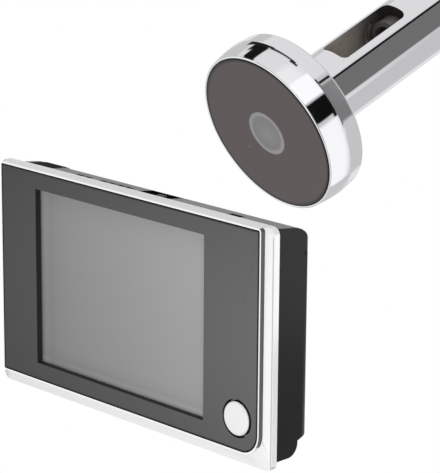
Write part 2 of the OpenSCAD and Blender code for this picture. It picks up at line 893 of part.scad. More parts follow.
module flange() {
  lip = 0.25;
  edge_r = 0.5;
  bulge = 0.22;
  groove = 0.2;
  steps = 6;
  band_l = crease_y - groove - lip;
  band = [
    for (i = [0:steps]) let (t = i / steps)
      [rim_r + (flange_r - rim_r) * t + 4 * bulge * t * (1 - t), lip + band_l * t]
  ];
  color("whitesmoke") in_unit() difference() {
    spun() polygon(concat(
      [[0, flange_depth], [0, 0], [rim_r - lip, 0]],
      band,
      [[flange_r - groove, crease_y], [flange_r, crease_y + groove]],
      arc([flange_r - edge_r, flange_depth - edge_r], edge_r, 0, quarter_turn)
    ));
    rod(gasket_r, -1, disc_t);
    rod(cup_r, disc_t - eps, cup_floor);
    rod(spigot_r + thread_gap, cup_floor - 1, flange_depth);
    rod(barrel_r + thread_gap, shoulder_y, flange_depth + 1);
    camera_screw_points()
      rod(camera_screw_r + thread_gap, cup_floor - 1, cup_floor + camera_screw_bite + snug);
  }
}

module face_gasket() {
  color("black") in_unit() difference() {
    rod(gasket_r, 0.15, disc_t);
    rod(disc_r, -1, disc_t + 1);
  }
}

module face_disc() {
  color("saddlebrown") in_unit() difference() {
    rod(disc_r, 0, disc_t);
    rod(lens_window_d / 2, -1, disc_t + 1);
  }
}

module lens_window() {
  color("gray") in_unit() rod(lens_window_d / 2, 0, disc_t);
}

module lens_glass() {
  glass_r = lens_r - lens_wall;
  color("lightblue") in_unit() spun()
    polygon(concat(
      dome_points(glass_r, 0.5, lens_y),
      [[glass_r, lens_y + lens_seat], [0, lens_y + lens_seat]]
    ));
}

module lens_barrel() {
  aperture_r = 1.2;
  color("black") in_unit() difference() {
    rod(lens_r, lens_y + snug, lens_y + lens_l);
    rod(lens_r - lens_wall, lens_y - 1, lens_y + lens_seat);
    rod(aperture_r, lens_y - 1, lens_y + lens_l + 1);
  }
}

module lens_holder() {
  color("dimgray") in_unit() difference() {
    union() {
      rod(lens_r + 0.8, lens_y + 1, camera_board_y);
      block(
        [-holder_w / 2, camera_board_y - 1.4, -holder_w / 2],
        [holder_w / 2, camera_board_y, holder_w / 2]
      );
    }
    rod(lens_r, lens_y - 1, lens_y + lens_l);
    rod(lens_r - 0.4, lens_y, camera_board_y + 1);
  }
}

module image_sensor() {
  half = 2;
  color("darkblue") in_unit()
    block([-half, camera_board_y - sensor_t, -half], [half, camera_board_y, half]);
}

module camera_screw_points() {
  for (a = [90, 210, 330])
    rotate([0, a, 0]) translate([camera_screw_ring, 0, 0]) children();
}

module camera_board() {
  notch = 6;
  color("darkgreen") in_unit() difference() {
    rod(camera_board_r, camera_board_y, camera_board_y + camera_board_t);
    block(
      [-notch / 2, camera_board_y - 1, -camera_board_r - 1],
      [notch / 2, camera_board_y + camera_board_t + 1, 3 - camera_board_r]
    );
    camera_screw_points() rod(camera_screw_r + snug, camera_board_y - 1, cup_floor);
  }
}

module camera_board_screws() {
  color("silver") in_unit() camera_screw_points() {
    rod(1.5, camera_board_y - 0.8, camera_board_y);
    rod(camera_screw_r, camera_board_y - eps, cup_floor + camera_screw_bite);
  }
}

module ir_leds() {
  led_l = 2.4;
  collar_t = 0.5;
  collar_r = led_r + 0.25;
  color("lavender") in_unit() for (i = [0:led_count - 1])
    rotate([0, i * 360 / led_count, 0]) translate([led_ring_r, camera_board_y, 0]) spun()
      polygon(concat(
        dome_points(led_r, led_r * 0.8, -led_l),
        [[led_r, -collar_t], [collar_r, -collar_t], [collar_r, 0], [0, 0]]
      ));
}

module light_sensor() {
  color("khaki") in_unit() rotate([0, -sensor_dot_angle, 0]) translate([sensor_dot_r, 0, 0])
    rod(0.8, camera_board_y - 1.6, camera_board_y);
}

module barrel() {
  tail_chamfer = 0.6;
  throat_l = flange_back + 1;
  throat_step = 1;
  // The tube's seam is turned clear of the slot window
  seam_turn = -22.5;
  color("whitesmoke") in_unit() difference() {
    rotate([0, seam_turn, 0]) spun() polygon([
      [0, cup_floor], [spigot_r, cup_floor], [spigot_r, shoulder_y],
      [barrel_r - shoulder_l, shoulder_y], [barrel_r, flange_depth],
      [barrel_r, barrel_end - tail_chamfer], [barrel_r - tail_chamfer, barrel_end], [0, barrel_end]
    ]);
    rod(barrel_bore_r - throat_step, cup_floor - 1, cup_floor + throat_l);
    rod(barrel_bore_r, cup_floor + throat_l - eps, thread_y);
    rod(clamp_r + clamp_clear, thread_y - eps, barrel_end + 1);
    translate([0, slot_y, 0])
      linear_extrude(barrel_r + 1)
        outline([-slot_w / 2, 0], [slot_w / 2, slot_l], [slot_r, slot_r, slot_r, slot_r]);
  }
}

module clamp_washer() {
  color("ivory") in_unit() difference() {
    rod(clamp_head_d / 2 - 0.2, clamp_head_y - washer_play - washer_t, clamp_head_y - washer_play);
    rod(clamp_r + clamp_clear, clamp_head_y - 2 * washer_t - 1, clamp_head_y + 1);
  }
}

module clamp_tube() {
  key_w = 2;
  color("silver") in_unit() difference() {
    union() {
      rod(clamp_r, clamp_front, clamp_head_y + eps);
      rod(clamp_head_d / 2, clamp_head_y, clamp_head_y + clamp_head_t);
    }
    rod(clamp_bore_d / 2, clamp_front - 1, clamp_head_y + clamp_head_t + 1);
    block(
      [-clamp_head_d, clamp_head_y + clamp_head_t / 2, -key_w / 2],
      [clamp_head_d, clamp_head_y + clamp_head_t + 1, key_w / 2]
    );
  }
}

front_bezel();
front_panel();
view_button();
switch_plunger();
tact_switch();
lcd_glass();
lcd_frame();
main_board();
board_chips();
board_screws();
camera_socket();
power_switch_body();
power_switch_knob();
rear_housing();
housing_screws();
battery_cover();
battery_cells();
battery_contacts();
mounting_bracket();
flange();
face_gasket();
face_disc();
lens_window();
lens_glass();
lens_barrel();
lens_holder();
image_sensor();
camera_board();
camera_board_screws();
ir_leds();
light_sensor();
barrel();
clamp_washer();
clamp_tube();
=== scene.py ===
import math

import bmesh
import bpy
from mathutils import Matrix, Vector


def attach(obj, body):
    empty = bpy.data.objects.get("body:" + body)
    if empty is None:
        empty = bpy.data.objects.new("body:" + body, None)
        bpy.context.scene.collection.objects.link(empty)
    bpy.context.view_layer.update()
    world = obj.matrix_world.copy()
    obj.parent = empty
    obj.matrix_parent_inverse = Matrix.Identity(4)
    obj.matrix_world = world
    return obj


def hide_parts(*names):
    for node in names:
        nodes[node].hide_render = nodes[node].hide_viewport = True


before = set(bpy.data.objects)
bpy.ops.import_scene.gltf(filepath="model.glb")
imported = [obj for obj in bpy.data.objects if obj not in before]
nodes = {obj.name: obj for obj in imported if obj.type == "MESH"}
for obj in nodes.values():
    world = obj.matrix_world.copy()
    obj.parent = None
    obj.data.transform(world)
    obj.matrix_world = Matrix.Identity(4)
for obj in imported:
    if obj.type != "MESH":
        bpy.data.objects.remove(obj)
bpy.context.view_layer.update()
scene = bpy.context.scene
scene.view_settings.view_transform = "Standard"


# Camera. The photograph's own viewpoint: a long lens from the front right, a little above,
# solved from the panel's corners and the flange's outline.
focal_pixels = 2350.0
picture_pixels = 473.0
camera_data = bpy.data.cameras.new("photo_camera")
camera_data.sensor_width = 36.0
camera_data.lens = focal_pixels * camera_data.sensor_width / picture_pixels
camera_data.clip_start = 0.01
camera = bpy.data.objects.new("photo_camera", camera_data)
scene.collection.objects.link(camera)
view_place = Vector((0.468346, -0.461332, 0.197564))
view_right = Vector((0.7002617, 0.7138454, 0.0076360))
view_up = Vector((-0.1894511, 0.1755119, 0.9660765))
view_back = Vector((0.6882890, -0.6779531, 0.2581430))
camera_turn = Matrix((view_right, view_up, view_back)).transposed().to_4x4()
camera.matrix_world = Matrix.Translation(view_place) @ camera_turn
scene.camera = camera


# Studio. A white sweep and a soft white tent round the set. White, grey and black cards hang in the
# tent, which only polished surfaces mirror; the camera itself sees plain white behind the object.
def feed(tree, socket, term):
    """Gives an input the output of another node, or a plain value."""
    if isinstance(term, bpy.types.NodeSocket):
        tree.links.new(term, socket)
    else:
        socket.default_value = term


def math_step(tree, operation, first, second=0.0):
    """One step of arithmetic."""
    step = tree.nodes.new("ShaderNodeMath")
    step.operation = operation
    feed(tree, step.inputs[0], first)
    feed(tree, step.inputs[1], second)
    return step.outputs[0]


def mix_step(tree, kind, share, first, second, blend="MIX"):
    """A blend of two numbers (kind FLOAT) or of two colours (kind RGBA)."""
    step = tree.nodes.new("ShaderNodeMix")
    step.data_type = kind
    step.blend_type = blend
    feed(tree, step.inputs["Factor"], share)
    feed(tree, step.inputs["A"], first)
    feed(tree, step.inputs["B"], second)
    return step.outputs["Result"]


def range_step(tree, value, reach, tones, curve="LINEAR"):
    """A value's reach mapped to two tones, which hold beyond its ends."""
    step = tree.nodes.new("ShaderNodeMapRange")
    step.interpolation_type = curve
    feed(tree, step.inputs["Value"], value)
    for label, term in zip(("From Min", "From Max", "To Min", "To Max"), (*reach, *tones)):
        feed(tree, step.inputs[label], term)
    return step.outputs["Result"]


def studio_card_group():
    """A card's mask: one on the card, and falling to nothing over its soft edge."""
    group = bpy.data.node_groups.new("studio_card", "ShaderNodeTree")
    for label in ("Round", "Out", "Card Round", "Card Out", "Half Round", "Half Out", "Edge"):
        group.interface.new_socket(label, in_out="INPUT", socket_type="NodeSocketFloat")
    group.interface.new_socket("Mask", in_out="OUTPUT", socket_type="NodeSocketFloat")
    start = group.nodes.new("NodeGroupInput")
    end = group.nodes.new("NodeGroupOutput")
    fades = []
    for way in ("Round", "Out"):
        apart = math_step(group, "SUBTRACT", start.outputs[way], start.outputs["Card " + way])
        inner = math_step(group, "SUBTRACT", start.outputs["Half " + way], start.outputs["Edge"])
        outer = math_step(group, "ADD", start.outputs["Half " + way], start.outputs["Edge"])
        reach = math_step(group, "ABSOLUTE", apart)
        fades.append(range_step(group, reach, (inner, outer), (1.0, 0.0), curve="SMOOTHSTEP"))
    group.links.new(math_step(group, "MULTIPLY", *fades), end.inputs["Mask"])
    return group


studio = bpy.data.worlds.new("white_tent")
scene.world = studio
studio.use_nodes = True
tent = studio.node_tree
tent.nodes.clear()
# the cards are placed round the camera unit's axis: an angle round it, and an angle out from its tail
card_group = studio_card_group()
unit_turn = (
    Matrix.Rotation(math.radians(-4.0), 4, "Z")
    @ Matrix.Rotation(math.radians(23.0), 4, "X")
    @ Matrix.Rotation(math.radians(12.5), 4, "Y")
)
tent_view = tent.nodes.new("ShaderNodeTexCoord")
tent_turn = tent.nodes.new("ShaderNodeMapping")
tent_turn.inputs["Rotation"].default_value = unit_turn.inverted().to_euler()
tent.links.new(tent_view.outputs["Generated"], tent_turn.inputs["Vector"])
tent_axes = tent.nodes.new("ShaderNodeSeparateXYZ")
tent.links.new(tent_turn.outputs[0], tent_axes.inputs[0])
tent_round = math_step(tent, "ARCTAN2", tent_axes.outputs["X"], tent_axes.outputs["Z"])
tent_out = math_step(tent, "ARCCOSINE", tent_axes.outputs["Y"])
bare_tent = 0.72
soft_fill = 0.58
plain_white = 1.0
tent_level = bare_tent
# each card: middle round the axis, middle out from the tail, half sizes, soft edge, brightness;
# a later card hangs in front of the earlier ones, and the last five serve the views from the sides
for card_round, card_out, half_round, half_out, soft_edge, card_level in (
    (0, 180, 200, 20, 6, 1.40),
    (-102, 141, 45, 22, 10, 1.25),
    (-117, 50, 14, 9, 4, 1.00),
    (80, 133, 26, 13, 6, 0.02),
    (140, 56, 32, 4, 3, 0.70),
    (-165, 56, 14, 3, 3, 1.00),
    (-25, 63, 50, 18, 3, 0.93),
    (64, 55.7, 31, 4.0, 1.2, 0.20),
    (30, 55.7, 3.5, 3.6, 0.8, 0.01),
    (104, 57.5, 5, 1.6, 1.5, 0.95),
    (8, 74.5, 16, 10, 6, 1.08),
    (30, 74.5, 15, 13, 1.5, 1.28),
    (124, 74.5, 45, 13, 3, 1.22),
    (60.5, 70.5, 13, 10.2, 1.2, 0.006),
    (74, 62.6, 5, 1.9, 0.9, 0.006),
    (-63, 60.4, 21, 1.5, 0.6, 0.01),
    (-60, 63.5, 11, 2.5, 1.2, 0.01),
    (-55.5, 69, 9, 7, 1.5, 0.01),
    (-25, 61.6, 20, 0.9, 0.5, 0.02),
    (-6, 63.0, 6, 0.9, 0.5, 0.01),
    (66, 47.8, 29, 2.4, 3, 0.22),
    (32.5, 47.2, 2.0, 2.2, 0.6, 0.02),
    (64, 100, 26, 11, 3, 0.12),
    (31, 100, 3, 11, 1.5, 0.02),
    (106, 100, 8, 11, 2, 1.20),
    (-30, 100, 9, 10, 3, 0.10),
    (-150, 98, 10, 9, 3, 0.12),
):
    card = tent.nodes.new("ShaderNodeGroup")
    card.node_tree = card_group
    for label, angle in (
        ("Card Round", card_round),
        ("Card Out", card_out),
        ("Half Round", half_round),
        ("Half Out", half_out),
        ("Edge", soft_edge),
    ):
        card.inputs[label].default_value = math.radians(angle)
    tent.links.new(tent_round, card.inputs["Round"])
    tent.links.new(tent_out, card.inputs["Out"])
    tent_level = mix_step(tent, "FLOAT", card.outputs["Mask"], tent_level, card_level)
tent_ray = tent.nodes.new("ShaderNodeLightPath")
tent_level = mix_step(tent, "FLOAT", tent_ray.outputs["Is Glossy Ray"], soft_fill, tent_level)
tent_level = mix_step(tent, "FLOAT", tent_ray.outputs["Is Camera Ray"], tent_level, plain_white)
tent_shader = tent.nodes.new("ShaderNodeBackground")
tent.links.new(tent_level, tent_shader.inputs["Strength"])
tent_end = tent.nodes.new("ShaderNodeOutputWorld")
tent.links.new(tent_shader.outputs[0], tent_end.inputs["Surface"])

floor_half = 4.0
floor_height = -0.30
floor_shape = bmesh.new()
bmesh.ops.create_grid(floor_shape, x_segments=1, y_segments=1, size=floor_half)
bmesh.ops.translate(floor_shape, verts=floor_shape.verts, vec=(0, 0, floor_height))
floor_mesh = bpy.data.meshes.new("sweep_floor")
floor_shape.to_mesh(floor_mesh)
floor_shape.free()
floor = bpy.data.objects.new("sweep_floor", floor_mesh)
scene.collection.objects.link(floor)
floor_paint = bpy.data.materials.new("sweep_white")
floor_paint.use_nodes = True
sweep = floor_paint.node_tree
sweep_matt = sweep.nodes["Principled BSDF"]
sweep_matt.inputs["Base Color"].default_value = (0.86, 0.86, 0.86, 1)
sweep_matt.inputs["Roughness"].default_value = 0.9
sweep_glow = sweep.nodes.new("ShaderNodeEmission")
sweep_ray = sweep.nodes.new("ShaderNodeLightPath")
sweep_mix = sweep.nodes.new("ShaderNodeMixShader")
sweep.links.new(sweep_ray.outputs["Is Camera Ray"], sweep_mix.inputs[0])
sweep.links.new(sweep_matt.outputs[0], sweep_mix.inputs[1])
sweep.links.new(sweep_glow.outputs[0], sweep_mix.inputs[2])
sweep.links.new(sweep_mix.outputs[0], sweep.nodes["Material Output"].inputs["Surface"])
floor_mesh.materials.append(floor_paint)
floor.visible_glossy = False

# Softboxes: one close to the front right, which lights the panel's right end more than its left, and a
# wide one overhead.
for lamp_name, lamp_place, lamp_aim, lamp_size, lamp_power in (
    ("softbox_right", (0.28, -0.34, 0.02), (0.02, -0.02, 0.0), 0.28, 0.85),
    ("softbox_top", (0.0, -0.1, 0.9), (0.0, -0.02, 0.0), 0.8, 2.4),
):
    lamp_data = bpy.data.lights.new(lamp_name, "AREA")
    lamp_data.size = lamp_size
    lamp_data.energy = lamp_power
    lamp = bpy.data.objects.new(lamp_name, lamp_data)
    scene.collection.objects.link(lamp)
    lamp_look = Vector(lamp_aim) - Vector(lamp_place)
    lamp_turn = lamp_look.to_track_quat("-Z", "Y").to_matrix().to_4x4()
    lamp.matrix_world = Matrix.Translation(lamp_place) @ lamp_turn
    lamp.visible_glossy = False

# A tall softbox behind the right side, flagged off from all but the monitor's shell: its side walls
# mirror it, more at their top than at their foot.
side_box_data = bpy.data.lights.new("softbox_side", "AREA")
side_box_data.shape = "RECTANGLE"
side_box_data.size = 0.16
side_box_data.size_y = 0.145
side_box_data.energy = 0.06
side_box = bpy.data.objects.new("softbox_side", side_box_data)
scene.collection.objects.link(side_box)
side_box_place = Vector((0.231, 0.193, -0.0125))
side_box_look = Vector((-0.431, -0.451, 0.0))
side_box_turn = side_box_look.to_track_quat("-Z", "Y").to_matrix().to_4x4()
side_box.matrix_world = Matrix.Translation(side_box_place) @ side_box_turn
side_box.visible_camera = False
side_lit = bpy.data.collections.new("side_lit")
side_box.light_linking.receiver_collection = side_lit


# Mounting bracket. A zinc plated steel plate of 1.2 mm with four hooks bent up from it,
# held to the door by the camera unit's clamp tube.
def rounded_piece(node, name, body, radius, segments=2):
    """A copy of a CAD node with its triangles joined and its sharp edges rounded."""
    merge_gap = 1e-6
    flat_turn = math.radians(0.6)
    sharp_turn = math.radians(38)
    facet_width = 0.0012
    mesh = bpy.data.meshes.new(name)
    shape = bmesh.new()
    shape.from_mesh(nodes[node].data)
    bmesh.ops.remove_doubles(shape, verts=shape.verts, dist=merge_gap)
    bmesh.ops.dissolve_limit(shape, angle_limit=flat_turn, verts=shape.verts, edges=shape.edges)
    for face in shape.faces:
        width = face.calc_area() / max(side.calc_length() for side in face.edges)
        face.smooth = width < facet_width
    shape.to_mesh(mesh)
    shape.free()
    piece = bpy.data.objects.new(name, mesh)
    scene.collection.objects.link(piece)
    edge = piece.modifiers.new("edge", "BEVEL")
    edge.width = radius
    edge.segments = segments
    edge.profile = 0.5
    edge.limit_method = "ANGLE"
    edge.angle_limit = sharp_turn
    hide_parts(node)
    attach(piece, body)
    return piece


def new_finish(name):
    """A plain finish: its material, its tree and its shader."""
    finish = bpy.data.materials.new(name)
    finish.use_nodes = True
    return finish, finish.node_tree, finish.node_tree.nodes["Principled BSDF"]


def object_place(tree):
    """The points of a finish's surface, in the piece's own coordinates."""
    return tree.nodes.new("ShaderNodeTexCoord").outputs["Object"]


def surface_group():
    """Cloudy tone and fine relief that moulded, painted and plated surfaces share."""
    group = bpy.data.node_groups.new("fine_surface", "ShaderNodeTree")
    group.interface.new_socket("Vector", in_out="INPUT", socket_type="NodeSocketVector")
    for label in ("Cloud Scale", "Grain Scale", "Cloud Amount"):
        group.interface.new_socket(label, in_out="INPUT", socket_type="NodeSocketFloat")
    for label in ("Tone", "Relief"):
        group.interface.new_socket(label, in_out="OUTPUT", socket_type="NodeSocketFloat")
    start = group.nodes.new("NodeGroupInput")
    end = group.nodes.new("NodeGroupOutput")
    noises = []
    for scale, detail in (("Cloud Scale", 3.0), ("Grain Scale", 2.0)):
        noise = group.nodes.new("ShaderNodeTexNoise")
        noise.inputs["Detail"].default_value = detail
        group.links.new(start.outputs["Vector"], noise.inputs["Vector"])
        group.links.new(start.outputs[scale], noise.inputs["Scale"])
        noises.append(noise.outputs["Fac"])
    cloud, grain = noises
    tone = mix_step(group, "FLOAT", start.outputs["Cloud Amount"], grain, cloud)
    group.links.new(tone, end.inputs["Tone"])
    group.links.new(grain, end.inputs["Relief"])
    return group


fine_surface = surface_group()


def grained_finish(
    name, dark, light, rough, metal=0.0, specular=0.5, clouds=60.0, grain=2500.0, relief=0.00001
):
    """A finish whose colour, roughness and relief vary finely over the surface."""
    cloud_share = 0.6
    tone_span = (0.3, 0.7)
    relief_strength = 0.5
    finish, tree, shader = new_finish(name)
    surface = tree.nodes.new("ShaderNodeGroup")
    surface.node_tree = fine_surface
    surface.inputs["Cloud Scale"].default_value = clouds
    surface.inputs["Grain Scale"].default_value = grain
    surface.inputs["Cloud Amount"].default_value = cloud_share
    tree.links.new(object_place(tree), surface.inputs["Vector"])
    tone = surface.outputs["Tone"]
    tree.links.new(mix_step(tree, "RGBA", tone, (*dark, 1), (*light, 1)), shader.inputs["Base Color"])
    tree.links.new(range_step(tree, tone, tone_span, rough), shader.inputs["Roughness"])
    shader.inputs["Metallic"].default_value = metal
    shader.inputs["Specular IOR Level"].default_value = specular
    if relief:
        bump = tree.nodes.new("ShaderNodeBump")
        bump.inputs["Strength"].default_value = relief_strength
        bump.inputs["Distance"].default_value = relief
        tree.links.new(surface.outputs["Relief"], bump.inputs["Height"])
        tree.links.new(bump.outputs["Normal"], shader.inputs["Normal"])
    return finish


def dress(piece, *finishes):
    """Gives a piece, or a CAD node that shows as it is, its finishes."""
    piece.data.materials.clear()
    for finish in finishes:
        piece.data.materials.append(finish)


zinc_finish = grained_finish(
    "zinc_plating", (0.50, 0.51, 0.53), (0.70, 0.71, 0.72), (0.26, 0.40), metal=1.0, clouds=260.0, grain=900.0
)
bracket = rounded_piece("mounting_bracket", "bracket_plate", "door_set", 0.00018)
dress(bracket, zinc_finish)


# Rear housing. A black satin shell moulded in one piece, with the sloping top, the stepped
# lower back, the battery bay and the tubs for the bracket and the power switch.
housing_finish = grained_finish(
    "housing_black", (0.004, 0.004, 0.0045), (0.009, 0.009, 0.010), (0.20, 0.27),
    specular=0.22, grain=3200.0, relief=0.000006,
)
pad_finish = grained_finish(
    "pad_rubber", (0.004, 0.004, 0.004), (0.008, 0.008, 0.008), (0.75, 0.85), specular=0.1, grain=2600.0
)
housing = rounded_piece("rear_housing", "housing_shell", "monitor", 0.0002)
side_lit.objects.link(housing)
dress(housing, housing_finish, pad_finish)
skin = 0.0001
pad_end = -0.0613
pad_foot = 0.024
recess_ends = (-0.0215, -0.0083)
recess_front = -0.0137
recess_floor = 0.03075
for side in housing.data.polygons:
    on_pad = side.center.x < pad_end and side.center.z > pad_foot and side.normal.z > 0.1
    in_recess = (
        recess_ends[0] < side.center.x < recess_ends[1]
        and side.center.y > recess_front
        and side.center.z > recess_floor - skin
    )
    recess_side = abs(side.normal.z) < 0.05
    recess_bottom = side.normal.z > 0.999 and side.center.z < recess_floor + skin
    if on_pad or (in_recess and (recess_side or recess_bottom)):
        side.material_index = 1

# Rear wall of the switch recess. A strip of the same black moulding between the knob's way and the
# rounded edge, level with the shell's outside.
edge_middle = Vector((0, -0.0084, 0.02506))
edge_radius = 0.00797
wall_gap = 0.00015
wall_shape = bmesh.new()
wall_points = [
    edge_middle + edge_radius * Vector((0, math.sin(math.radians(a)), math.cos(math.radians(a))))
    for a in (14.5, 20.3, 26.1, 31.8, 37.6, 43.4)
]
wall_points += [Vector((0, wall_points[-1].y, recess_floor)), Vector((0, wall_points[0].y, recess_floor))]
wall_start = Vector((recess_ends[0] + wall_gap, 0, 0))
wall_face = wall_shape.faces.new([wall_shape.verts.new(point + wall_start) for point in wall_points])
wall_run = bmesh.ops.extrude_face_region(wall_shape, geom=[wall_face])
bmesh.ops.translate(
    wall_shape, vec=(recess_ends[1] - recess_ends[0] - 2 * wall_gap, 0, 0),
    verts=[part for part in wall_run["geom"] if isinstance(part, bmesh.types.BMVert)],
)
bmesh.ops.recalc_face_normals(wall_shape, faces=wall_shape.faces)
wall_mesh = bpy.data.meshes.new("recess_wall")
wall_shape.to_mesh(wall_mesh)
wall_shape.free()
recess_wall = bpy.data.objects.new("recess_wall", wall_mesh)
scene.collection.objects.link(recess_wall)
dress(recess_wall, pad_finish)
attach(recess_wall, "monitor")


# Battery cover. A plate of the same black plastic in the housing's back, with tongues in its
# long sides and grooves for the thumb; it slides down and off.
cover = rounded_piece("battery_cover", "battery_lid", "battery_cover", 0.0001)
dress(cover, housing_finish)


# Power switch knob. A small ribbed slider of dark grey plastic in the recess of the housing's top,
# its ribs just under the surface round it.
knob_finish = grained_finish(
    "knob_grey", (0.10, 0.10, 0.102), (0.15, 0.15, 0.152), (0.35, 0.45), grain=3000.0
)
knob = rounded_piece("power_switch_knob", "switch_slider", "power_switch", 0.00012)
dress(knob, knob_finish)
knob_waist = 0.0322
knob_sink = 0.0010
for corner in knob.data.vertices:
    if corner.co.z > knob_waist:
        corner.co.z -= knob_sink


# Inner pieces of the monitor: display frame, boards, switches, socket, cells and screws.
# They are stamped, moulded or soldered stock pieces and stay inside the closed shell.
board_finish = grained_finish(
    "solder_resist", (0.010, 0.075, 0.030), (0.022, 0.13, 0.055), (0.30, 0.45), clouds=300.0, grain=1800.0
)
chip_finish = grained_finish(
    "chip_moulding", (0.012, 0.012, 0.012), (0.024, 0.024, 0.024), (0.45, 0.6), grain=4000.0
)
ivory_finish = grained_finish(
    "ivory_moulding", (0.70, 0.66, 0.56), (0.80, 0.77, 0.68), (0.4, 0.5), grain=2600.0
)
plunger_finish = grained_finish(
    "switch_brown", (0.18, 0.09, 0.05), (0.26, 0.14, 0.08), (0.4, 0.5), grain=2600.0
)
cell_finish = grained_finish(
    "cell_sleeve", (0.07, 0.10, 0.11), (0.11, 0.15, 0.16), (0.28, 0.36), metal=0.3, clouds=120.0
)
for node, finish in (
    ("lcd_frame", zinc_finish), ("main_board", board_finish), ("board_chips", chip_finish),
    ("board_screws", zinc_finish), ("tact_switch", zinc_finish), ("switch_plunger", plunger_finish),
    ("power_switch_body", zinc_finish), ("camera_socket", ivory_finish), ("battery_cells", cell_finish),
    ("battery_contacts", zinc_finish), ("housing_screws", zinc_finish),
):
    dress(nodes[node], finish)


# Display. The matt grey face of a 3.5 inch liquid crystal module, switched off. The module is laid
# in its steel frame, and its face is recessed behind the panel's window.
def object_axes(tree):
    """The object coordinates of a finish's surface, one by one."""
    axes = tree.nodes.new("ShaderNodeSeparateXYZ")
    tree.links.new(object_place(tree), axes.inputs[0])
    return axes.outputs


def multiply_colour(finish, tone, share=1.0):
    """Multiplies a finish's colour by a tone."""
    tree = finish.node_tree
    colour = tree.nodes["Principled BSDF"].inputs["Base Color"]
    toned = mix_step(tree, "RGBA", share, colour.links[0].from_socket, tone, blend="MULTIPLY")
    tree.links.new(toned, colour)


display_finish, display_tree, display_shader = new_finish("display_face")
display_axes = object_axes(display_tree)
# painted light: the face's colour brightens from its left end to its right, as a glare from the right would
# make it
display_ends = (-0.058, 0.016)
display_dim_left = (0.330, 0.330, 0.330, 1)
display_glare_right = (0.455, 0.455, 0.455, 1)
display_glare_share = range_step(display_tree, display_axes["X"], display_ends, (0.0, 1.0))
display_colour = mix_step(display_tree, "RGBA", display_glare_share, display_dim_left, display_glare_right)
display_tree.links.new(display_colour, display_shader.inputs["Base Color"])
# painted light: the face is lightened at the left and at the foot, against the shade that the window's walls
# cast there, and it is lightened towards the top
for axis, painted_light_ends, painted_light_tones in (
    ("X", (-0.0572, -0.0532), (1.45, 1.0)),
    ("Z", (-0.0253, -0.0226), (1.40, 1.0)),
    ("Z", (0.0268, 0.0292), (1.0, 1.12)),
    ("Z", (-0.0252, 0.0292), (0.90, 1.0)),
):
    display_painted_light = range_step(display_tree, display_axes[axis], painted_light_ends, painted_light_tones, curve="SMOOTHSTEP")
    multiply_colour(display_finish, display_painted_light)
display_dots = display_tree.nodes.new("ShaderNodeTexNoise")
display_dots.inputs["Scale"].default_value = 2200.0
display_tree.links.new(object_place(display_tree), display_dots.inputs["Vector"])
display_soft = range_step(display_tree, display_dots.outputs["Fac"], (0.0, 1.0), (0.5, 0.62))
display_tree.links.new(display_soft, display_shader.inputs["Roughness"])
display_shader.inputs["Specular IOR Level"].default_value = 0.25
display_shader.inputs["Metallic"].default_value = 0.15
dress(nodes["lcd_glass"], display_finish)


# Front panel. A charcoal plate with a fine satin grain, dropped into the bezel's rim; its
# window has square corners and its lower right corner is round.
panel_finish = grained_finish(
    "panel_charcoal", (0.058, 0.058, 0.059), (0.074, 0.074, 0.075), (0.42, 0.52), clouds=45.0, grain=3600.0
)
panel_tree = panel_finish.node_tree
panel_axes = object_axes(panel_tree)
# painted sheen: the plate's colour brightens towards its right end, as if lit from close by on the right
painted_sheen_ends = (-0.073, 0.037)
painted_sheen_tones = (0.74, 1.85)
multiply_colour(panel_finish, range_step(panel_tree, panel_axes["X"], painted_sheen_ends, painted_sheen_tones))
# painted shade: a fine black line runs along the plate's edge, round the large corner too, for the shaded gap
# to the rim
panel_ends = (-0.07285, 0.03685)
panel_heights = (-0.0304, 0.0344)
panel_corner = 0.0060
gap_shade_ends = (0.00036, 0.00048)
gap_shade_tones = (0.02, 1.0)
past_corner = math_step(panel_tree, "SUBTRACT", panel_axes["X"], panel_ends[1] - panel_corner)
under_corner = math_step(panel_tree, "SUBTRACT", panel_heights[0] + panel_corner, panel_axes["Z"])
corner_squares = [
    math_step(panel_tree, "POWER", math_step(panel_tree, "MAXIMUM", reach, 0), 2)
    for reach in (past_corner, under_corner)
]
corner_reach = math_step(panel_tree, "SQRT", math_step(panel_tree, "ADD", *corner_squares))
edge_apart = math_step(panel_tree, "SUBTRACT", panel_corner, corner_reach)
top_apart = math_step(panel_tree, "SUBTRACT", panel_heights[1], panel_axes["Z"])
left_apart = math_step(panel_tree, "SUBTRACT", panel_axes["X"], panel_ends[0])
for side_apart in (top_apart, left_apart):
    edge_apart = math_step(panel_tree, "MINIMUM", edge_apart, side_apart)
painted_gap_shade = range_step(panel_tree, edge_apart, gap_shade_ends, gap_shade_tones)
# painted sheen: the plate is brightest a little above mid height and darker towards its top and foot
painted_sheen_height_middle = 0.004
painted_sheen_height_fall = 215.0
mid_apart = math_step(panel_tree, "SUBTRACT", panel_axes["Z"], painted_sheen_height_middle)
mid_square = math_step(panel_tree, "POWER", mid_apart, 2)
painted_sheen_height_tone = math_step(panel_tree, "SUBTRACT", 1.0, math_step(panel_tree, "MULTIPLY", mid_square, painted_sheen_height_fall))
multiply_colour(panel_finish, math_step(panel_tree, "MULTIPLY", painted_gap_shade, painted_sheen_height_tone))
# painted shade for the gaps: a black finish on walls that stand in shade round the plate, in the bezel's seat
# and round the button
gap_shade_finish = grained_finish(
    "gap_shade_black", (0.020, 0.020, 0.020), (0.028, 0.028, 0.028), (0.5, 0.6), specular=0.15, grain=2600.0
)
panel = rounded_piece("front_panel", "panel_plate", "monitor", 0.00012)
dress(panel, panel_finish, gap_shade_finish)
# painted shade: the plate's edges, round it, in its window and in the button hole, are nearly black
for side in panel.data.polygons:
    if abs(side.normal.y) < 0.5:
        side.material_index = 1
